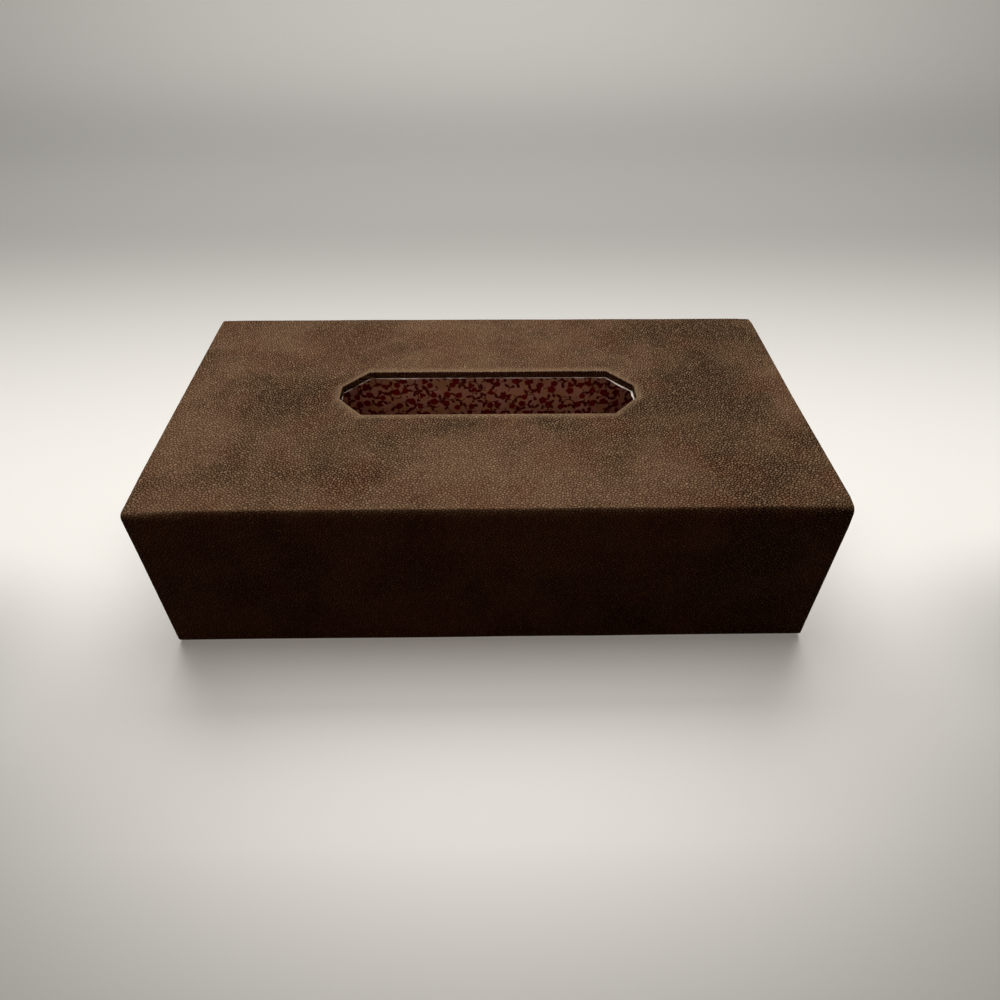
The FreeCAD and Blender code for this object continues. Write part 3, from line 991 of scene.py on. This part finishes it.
def build_sleeve_cover(context):
    """The sheet round the four long panels, turned into the slot and over the mouth's edges. Its second
    material is for the mouth's edge, which the sheet crosses."""
    sleeve, slot_settings = context.scene.tissue_sleeve, context.scene.tissue_slot
    outline = Slot(slot_settings, slot_settings.rim_radius)
    low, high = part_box("casing_cover")
    bm = new_box(low, high)
    ends = [face for face in bm.faces if abs(face.normal.x) > 0.9]
    bmesh.ops.delete(bm, geom=ends, context="FACES")
    round_long_edges(bm, low, high, (sleeve.top_radius, 7), (sleeve.bottom_radius, 5))

    corner_steps = 3
    step, mouth_depth = 3.4 * MM, 4 * MM
    flat_low, flat_high = low.y + sleeve.top_radius, high.y - sleeve.top_radius
    cut(bm, X, stations(step, low.x, *outline.across(corner_steps), high.x)[1:-1])
    cut(bm, Y, stations(step, flat_low, *outline.deep(corner_steps), flat_high)[1:-1])
    cut(bm, Z, stations(2 * step, low.z + sleeve.bottom_radius, high.z - sleeve.top_radius)[1:-1])

    rim = outline.open(bm)
    lip_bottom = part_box("casing_top_board")[0].z
    turn_into_slot(bm, outline, rim, slot_settings.rim_radius, lip_bottom)
    turn_in_mouth(bm, sleeve, low, high)
    tighten_edges(bm, sleeve, low, high)
    flare_mouth(bm, sleeve, low, high)
    mark_rim_highlight(bm, outline, high)
    lay_on_boards(bm, sleeve, slot_settings, outline, low, high, lip_bottom)
    bm.normal_update()
    for face in bm.faces:
        at_mouth = face.calc_center_median().x > high.x - mouth_depth
        face.material_index = int(at_mouth and abs(face.normal.x) > 0.8)
    bmesh.ops.solidify(bm, geom=bm.faces[:], thickness=sleeve.sheet)
    return bm


def build_end_panel(context):
    """The sheet on the closed end, a little smaller than the end, so that a fine seam shows round it. Its
    top edges are as round as the sleeve's are there."""
    sleeve = context.scene.tissue_sleeve
    cover_low, cover_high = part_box("casing_cover")
    low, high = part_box("casing_end_cover")
    gap = Vector((0, sleeve.seam, sleeve.seam))
    low, high = low + gap, high - gap
    bm = new_box(low, high)
    round_long_edges(bm, low, high, (sleeve.end_reach, 5), (sleeve.bottom_radius, 5))
    bevel(bm, edges_at(bm, X, low.x), sleeve.panel_rim, 4)
    margin, step, wave_share = 2 * MM, 6 * MM, 0.6
    cut(bm, Y, stations(step, low.y + margin, high.y - margin))
    cut(bm, Z, stations(step, low.z + margin, high.z - margin))
    for vert in bm.verts:
        vert.co += give_way(vert.co, sleeve, cover_low, cover_high)
        if vert.co.x < low.x + ON_FACE:
            vert.co.x += abs(waves(vert.co, sleeve)) * wave_share
    return bm


def build_slot_paper(context):
    """The lining under the top, cut by hand: its edge strays in and out past the slot's wall. Its second
    material is for the paper's back and edges."""
    settings = context.scene.tissue_slot
    slot = Slot(settings)
    low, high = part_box("casing_top_lining")
    corner_steps = 9
    fine, coarse = 1.2 * MM, 12 * MM
    bm = bmesh.new()
    place = Matrix.Translation((0, 0, low.z))
    bmesh.ops.create_grid(bm, x_segments=1, y_segments=1, size=1.0, matrix=place)
    for vert in bm.verts:
        vert.co.x = low.x if vert.co.x < 0 else high.x
        vert.co.y = low.y if vert.co.y < 0 else high.y
    for axis, marks in ((X, slot.across(corner_steps)), (Y, slot.deep(corner_steps))):
        cut(bm, axis, stations(coarse, low[axis], marks[0])[1:])
        cut(bm, axis, stations(fine, *marks)[1:-1])
        cut(bm, axis, stations(coarse, marks[-1], high[axis])[:-1])
    rim = slot.open(bm)
    for vert in {vert for edge in rim for vert in edge.verts}:
        stray = 0.5 * noise.noise(vert.co / (9 * MM)) + 0.9 * noise.noise(vert.co / (2.6 * MM))
        vert.co -= slot.outwards(vert.co) * (settings.paper_reveal + settings.paper_wander * stray)
        vert.co.x -= settings.paper_shift
    bottom = bm.faces[:]
    bmesh.ops.reverse_faces(bm, faces=bottom)
    grown = bmesh.ops.extrude_face_region(bm, geom=bottom, use_keep_orig=True)["geom"]
    for vert in verts_of(grown):
        vert.co.z = high.z
    bmesh.ops.recalc_face_normals(bm, faces=bm.faces[:])
    for face in bm.faces:
        face.material_index = 0 if face.normal.z < -0.5 else 1
    return bm


# ---------------------------------------------------------------- drawer


def extrude_to(bm, faces, axis, level):
    """Extrudes faces to a level along an axis. Nothing is left where they were."""
    grown = bmesh.ops.extrude_face_region(bm, geom=faces)["geom"]
    for vert in verts_of(grown):
        vert.co[axis] = level
    bmesh.ops.delete(bm, geom=faces, context="FACES")


def build_drawer_face(context):
    """Leatherette over the drawer's face and its edges, with a slit for the tab and a strip turned down
    inside."""
    sleeve, drawer = context.scene.tissue_sleeve, context.scene.tissue_drawer
    cover_low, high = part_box("drawer_face_cover")
    low = Vector((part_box("drawer_face_board")[0].x, cover_low.y, cover_low.z))
    fold_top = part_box("drawer_face_lining")[1].z
    bm = new_box(low, high)
    bevel(bm, edges_at(bm, X, high.x), drawer.rim, 5)

    slit_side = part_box("drawer_pull_tab")[1].y + drawer.slit_room
    middle, slit_half = (low.z + high.z) / 2, drawer.slit_height / 2
    slit_bottom, slit_top = middle - slit_half, middle + slit_half
    margin, step, wave_share = 2 * MM, 8 * MM, 0.8
    cut(bm, Y, stations(step, low.y + margin, -slit_side, slit_side, high.y - margin))
    cut(bm, Z, stations(step, low.z + margin, slit_bottom, slit_top, fold_top, high.z - margin))

    bm.normal_update()
    back = [face for face in bm.faces if face.normal.x < -0.9]
    extrude_to(bm, [face for face in back if face.calc_center_median().z > fold_top], X, cover_low.x)

    bm.normal_update()
    slit = []
    for face in bm.faces:
        centre = face.calc_center_median()
        if face.normal.x > 0.9 and abs(centre.y) < slit_side and abs(centre.z - middle) < slit_half:
            slit.append(face)
    shared = [edge for face in slit for edge in face.edges]
    outline = [edge for edge in shared if shared.count(edge) == 1]
    extrude_to(bm, slit, X, high.x - drawer.slit_depth)
    bevel(bm, outline, drawer.slit_radius, 3)

    for vert in bm.verts:
        if vert.co.x > high.x - ON_FACE:
            past_slit = max(abs(vert.co.y) - slit_side, abs(vert.co.z - middle) - slit_half, 0)
            pucker = drawer.pucker * (1 - smooth_step(past_slit / drawer.pucker_reach))
            vert.co.x -= abs(waves(vert.co, sleeve)) * wave_share + pucker
    return bm


def droop(context, bm):
    """Bends a strap that was made flat. There X is the distance from the drawer's face, and Z the height
    above the strap's middle."""
    tab = context.scene.tissue_tab
    low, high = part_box("drawer_face_cover")
    middle = (low.z + high.z) / 2
    for vert in bm.verts:
        along, side, height = vert.co
        if along < tab.straight:
            vert.co = (high.x + along, side, middle + height)
            continue
        angle = (along - tab.straight) / tab.bend_radius
        reach = tab.bend_radius + height
        vert.co.x = high.x + tab.straight + reach * math.sin(angle)
        vert.co.z = middle - tab.bend_radius + reach * math.cos(angle)


def strap_length(tab):
    """From the drawer's face to the strap's end."""
    return tab.straight + tab.bend_radius * tab.droop


def build_pull_tab(context):
    """The strap: two plies that meet in a fine line at the sides, folded at the drooping end."""
    tab = context.scene.tissue_tab
    half_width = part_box("drawer_pull_tab")[1].y
    start, end, line = -tab.root, strap_length(tab), tab.fold_line
    bm = new_box((start, -half_width, -tab.ply), (end, half_width, tab.ply))
    fold = [edge for edge in edges_at(bm, X, end) if runs_along(edge, Y)]
    bevel(bm, fold, tab.ply * 0.96, 5)
    bm.normal_update()
    sides = [face for face in bm.faces if abs(face.normal.y) > 0.9]
    long_edges = [edge for side in sides for edge in side.edges if not at_level(edge, X, start)]
    bevel(bm, long_edges, tab.edge, 3)
    cut(bm, X, stations(MM, start, end - 2 * MM)[1:])
    cut(bm, Z, (-line, 0, line))
    for vert in bm.verts:
        if abs(vert.co.z) < line / 2 and abs(vert.co.y) > half_width - line:
            vert.co.y -= math.copysign(2 * line, vert.co.y)
    droop(context, bm)
    return bm


def build_stitches(context):
    """Rows of stitches along both edges of the tab and across its end, on both sides."""
    tab = context.scene.tissue_tab
    row_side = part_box("drawer_pull_tab")[1].y - tab.margin
    row_end = strap_length(tab) - tab.margin
    first, pitch = tab.first_stitch, tab.stitch_pitch
    along = [first + (number + 0.5) * pitch for number in range(int((row_end - first) / pitch))]
    count = int(2 * row_side / pitch)
    across = [(2 * (number + 0.5) / count - 1) * row_side for number in range(count)]
    half_length, half_width = tab.stitch / 2, tab.thread / 2
    bm = bmesh.new()
    for height in (-tab.ply, tab.ply):
        for place in along:
            for side in (-row_side, row_side):
                add_stitch(bm, (place, side, height), (half_length, half_width, half_width))
        for side in across:
            add_stitch(bm, (row_end, side, height), (half_width, half_length, half_width))
    droop(context, bm)
    return bm


def add_stitch(bm, centre, radii):
    place = Matrix.Translation(centre) @ Matrix.Diagonal((*radii, 1.0))
    bmesh.ops.create_uvsphere(bm, u_segments=8, v_segments=8, radius=1.0, matrix=place)


def build_felt_pad():
    """The pad's edge is softened, and its corners are as round as the frame's."""
    corner_radius, rim_radius = 3.0 * MM, 0.3 * MM
    low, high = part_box("base_pad")
    bm = new_box(low, high)
    bevel(bm, [edge for edge in bm.edges if runs_along(edge, Z)], corner_radius, 6)
    bevel(bm, edges_at(bm, Z, low.z) + edges_at(bm, Z, high.z), rim_radius, 3)
    return bm


# ---------------------------------------------------------------- operators


class TISSUE_OT_boards(bpy.types.Operator):
    """Finish the raw boards under the coverings"""

    bl_idname = "tissue.boards"
    bl_label = "Boards"

    def execute(self, context):
        fibreboard = make_board("fibreboard", FIBREBOARD)
        greyboard = make_board("greyboard", GREYBOARD)
        dress_nodes(SLEEVE_BOARDS, fibreboard)
        dress_nodes(DRAWER_BOARDS, greyboard)
        return {"FINISHED"}


class TISSUE_OT_lining(bpy.types.Operator):
    """Line the sleeve and the drawer with printed paper, and wrap the drawer in plain paper"""

    bl_idname = "tissue.lining"
    bl_label = "Lining paper"

    def execute(self, context):
        look = context.scene.tissue_paper
        for name, axes in PRINTED_SHEETS.items():
            dress_nodes([name], make_printed_paper(context, f"print_{name}", axes))
        dress_nodes(["drawer_outer_wrap"], make_plain_paper("wrap_paper", look.wrap))
        ceiling = make_printed_paper(context, "print_casing_top_lining", (X, Y, Z, 1))
        bare = make_plain_paper("bare_paper", look.cut_edge)
        paper = build_slot_paper(context)
        replaced = ["casing_top_lining"]
        make_piece(paper, "slot_lining_paper", [ceiling, bare], "casing", replaced)
        return {"FINISHED"}


class TISSUE_OT_leatherette(bpy.types.Operator):
    """Cover the sleeve and the drawer's face with leatherette"""

    bl_idname = "tissue.leatherette"
    bl_label = "Leatherette"

    def execute(self, context):
        along = make_leatherette(context, "leatherette_along", unroll_sleeve)
        across = make_leatherette(context, "leatherette_across", unroll_face)
        strap = make_leatherette(context, "leatherette_strap", unroll_tab)
        pieces = (
            ("sleeve_leatherette", build_sleeve_cover, [along, across], "casing", "casing_cover"),
            ("end_leatherette", build_end_panel, [across], "casing", "casing_end_cover"),
            ("drawer_face_leatherette", build_drawer_face, [across], "drawer", "drawer_face_cover"),
            ("pull_tab", build_pull_tab, [strap], "drawer", "drawer_pull_tab"),
        )
        for name, build, materials, body, replaced in pieces:
            make_piece(build(context), name, materials, body, [replaced])
        return {"FINISHED"}


class TISSUE_OT_stitches(bpy.types.Operator):
    """Stitch the pull tab"""

    bl_idname = "tissue.stitches"
    bl_label = "Stitches"

    def execute(self, context):
        stitches = build_stitches(context)
        make_piece(stitches, "pull_tab_stitches", [make_thread()], "drawer")
        return {"FINISHED"}


class TISSUE_OT_felt(bpy.types.Operator):
    """Put the felt pad under the box"""

    bl_idname = "tissue.felt"
    bl_label = "Felt pad"

    def execute(self, context):
        make_piece(build_felt_pad(), "felt_pad", [make_felt()], "casing", ["base_pad"])
        return {"FINISHED"}


# ---------------------------------------------------------------- stage

# Where the camera stands, and its focal length as a share of the square frame's width.
CAMERA_PLACE = Vector((-0.05, -256.52, 249.22)) * MM
CAMERA_PITCH = math.radians(42.314)
CAMERA_YAW = math.radians(-1.1627)
CAMERA_ROLL = math.radians(0.3352)
FOCAL_SHARE = 0.72556
SENSOR_WIDTH = 36.0

# Each light's place, the place that it points at, and its width and depth, in metres.
LIGHTS = {
    "rear": ((0, 0.58, 0.95), (0, 0, 0.05), 1.2, 0.5),
    "overhead": ((0, 0.11, 0.95), (0, 0.11, 0), 0.8, 0.34),
    "fill": ((0, -1.15, 0.85), (0, 0, 0.04), 0.4, 0.3),
}
WHITE = (1.0, 1.0, 1.0)
WARM_WHITE = (1.0, 0.99, 0.96)

# Painted light and shade on the sweep: how its brightness changes with the distance behind the box's
# middle, and with the distance in front of the box and beside it, as the light falls off: where a change
# is half done and how wide it is, in millimetres, and what it adds.
BASE_LEVEL = 1.01
DEPTH_PAINTED_LIGHT = ((185, 390, -0.54), (900, 700, 0.48), (-80, 80, -0.11))
FRONT_PAINTED_FALLOFF = (235, 190, -0.66)
# The sweep's measures, in metres.
SWEEP_HALF_WIDTH = 2.5
SWEEP_NEAR = -2.5
SWEEP_FAR = 0.75
SWEEP_RADIUS = 0.5
SWEEP_HEIGHT = 2.0


def add_camera():
    data = bpy.data.cameras.new("camera")
    data.sensor_width = SENSOR_WIDTH
    data.lens = SENSOR_WIDTH * FOCAL_SHARE
    data.clip_start = 10 * MM
    data.clip_end = 50.0
    camera = add_object("camera", data)
    level = Matrix.Rotation(CAMERA_YAW, 4, "Z") @ Matrix.Rotation(math.pi / 2 - CAMERA_PITCH, 4, "X")
    camera.matrix_world = Matrix.Translation(CAMERA_PLACE) @ level @ Matrix.Rotation(CAMERA_ROLL, 4, "Z")
    bpy.context.scene.camera = camera


def make_pale_sweep(settings):
    """Pale floor and backdrop, painted lighter and darker by place as painted light fall-off. The camera
    sees them with a faint glow, which lifts the shadows, and the box gets only a little light from them."""
    beside, fade = 60, 200
    finish = Finish("pale_sweep", 0.9, specular=0.1)
    path = finish.node("LightPath", {}, {})
    seen = path["Is Camera Ray"].apply("MAXIMUM", path["Is Glossy Ray"])
    across, depth, _ = finish.split(finish.place())
    # Painted fall-off of light: the sweep darkens away from the box, in front of it and beside it.
    in_front = 1 - depth.above(0, fade)
    away = from_middle(across * in_front, (depth - beside).apply("MINIMUM", 0.0))
    level, softness, change = FRONT_PAINTED_FALLOFF
    painted_light = BASE_LEVEL + away.above(level, softness) * change
    # Painted light and shade by the distance behind the box's middle.
    for level, softness, change in DEPTH_PAINTED_LIGHT:
        painted_light = painted_light + depth.above(level, softness) * change
    pale = finish.vector("SCALE", tuple(settings.floor), scale=painted_light)
    dim = tuple(part * settings.bounce for part in settings.floor)
    finish.feed_shader("Base Color", finish.mix(seen, dim, pale))
    glowing = finish.vector("SCALE", pale, scale=path["Is Camera Ray"] * settings.glow)
    finish.feed_shader("Emission Color", glowing)
    finish.shader.inputs["Emission Strength"].default_value = 1.0
    return finish.material


def extrude_edge(bm, edge, move):
    """Draws an edge out into a face. Returns the new edge and its two vertices."""
    verts, rim = grow(bm, [edge])
    bmesh.ops.translate(bm, verts=verts, vec=move)
    return next(made for made in rim if set(made.verts) == set(verts)), verts


def add_sweep(settings):
    """A pale floor that curves up into a backdrop, well behind the box."""
    bm = bmesh.new()
    corners = [bm.verts.new((side, SWEEP_NEAR, 0)) for side in (-SWEEP_HALF_WIDTH, SWEEP_HALF_WIDTH)]
    edge, verts = extrude_edge(bm, bm.edges.new(corners), (0, SWEEP_FAR - SWEEP_NEAR, 0))
    curve = bmesh.ops.spin(
        bm,
        geom=[edge, *verts],
        cent=(0, SWEEP_FAR, SWEEP_RADIUS),
        axis=(1, 0, 0),
        angle=math.pi / 2,
        steps=24,
        use_merge=False,
    )["geom_last"]
    extrude_edge(bm, edges_of(curve)[0], (0, 0, SWEEP_HEIGHT))
    bmesh.ops.recalc_face_normals(bm, faces=bm.faces[:])
    add_mesh("sweep", bm, [make_pale_sweep(settings)])


def add_area_light(name, watts, tint):
    place, target, width, depth = LIGHTS[name]
    data = bpy.data.lights.new(name, "AREA")
    data.shape = "RECTANGLE"
    data.energy = watts
    data.color = tint
    data.size = width
    data.size_y = depth
    light = add_object(name, data)
    light.location = place
    light.rotation_euler = (Vector(target) - Vector(place)).to_track_quat("-Z", "Y").to_euler()


def add_world(settings):
    """Faint light from all round, which the camera sees as a pale grey past the sweep."""
    world = bpy.data.worlds.new("studio")
    world.use_nodes = True
    nodes = Nodes(world.node_tree)
    background = world.node_tree.nodes["Background"]
    seen = nodes.node("LightPath", {}, {})["Is Camera Ray"]
    strength = seen * (settings.beyond - settings.ambient) + settings.ambient
    nodes.feed(background.inputs["Strength"], strength)
    nodes.feed(background.inputs["Color"], WARM_WHITE)
    bpy.context.scene.world = world


class TISSUE_OT_stage(bpy.types.Operator):
    """Set up the floor, the light and the camera"""

    bl_idname = "tissue.stage"
    bl_label = "Stage"

    def execute(self, context):
        settings = context.scene.tissue_stage
        add_sweep(settings)
        add_area_light("rear", settings.rear, WHITE)
        add_area_light("overhead", settings.overhead, WHITE)
        add_area_light("fill", settings.fill, settings.fill_tint)
        add_world(settings)
        add_camera()
        context.scene.view_settings.view_transform = "Standard"
        return {"FINISHED"}


class TISSUE_PT_panel(bpy.types.Panel):
    """Lists the steps and their settings"""

    bl_idname = "TISSUE_PT_panel"
    bl_label = "Tissue box"
    bl_space_type = "VIEW_3D"
    bl_region_type = "UI"
    bl_category = "Tissue box"

    def draw(self, context):
        for operator in OPERATORS:
            self.layout.operator(operator.bl_idname)
        for name, group in SETTINGS.items():
            box = self.layout.box()
            box.label(text=group.__doc__)
            for key in group.__annotations__:
                box.prop(getattr(context.scene, name), key)


OPERATORS = (
    TISSUE_OT_boards,
    TISSUE_OT_lining,
    TISSUE_OT_leatherette,
    TISSUE_OT_stitches,
    TISSUE_OT_felt,
    TISSUE_OT_stage,
)


def register():
    for kind in (*SETTINGS.values(), *OPERATORS, TISSUE_PT_panel):
        bpy.utils.register_class(kind)
    for name, group in SETTINGS.items():
        setattr(bpy.types.Scene, name, PointerProperty(type=group))


def unregister():
    for name in SETTINGS:
        delattr(bpy.types.Scene, name)
    for kind in reversed((*SETTINGS.values(), *OPERATORS, TISSUE_PT_panel)):
        bpy.utils.unregister_class(kind)


def main():
    register()
    for operator in OPERATORS:
        module, name = operator.bl_idname.split(".")
        getattr(getattr(bpy.ops, module), name)()


if __name__ == "__main__":
    main()
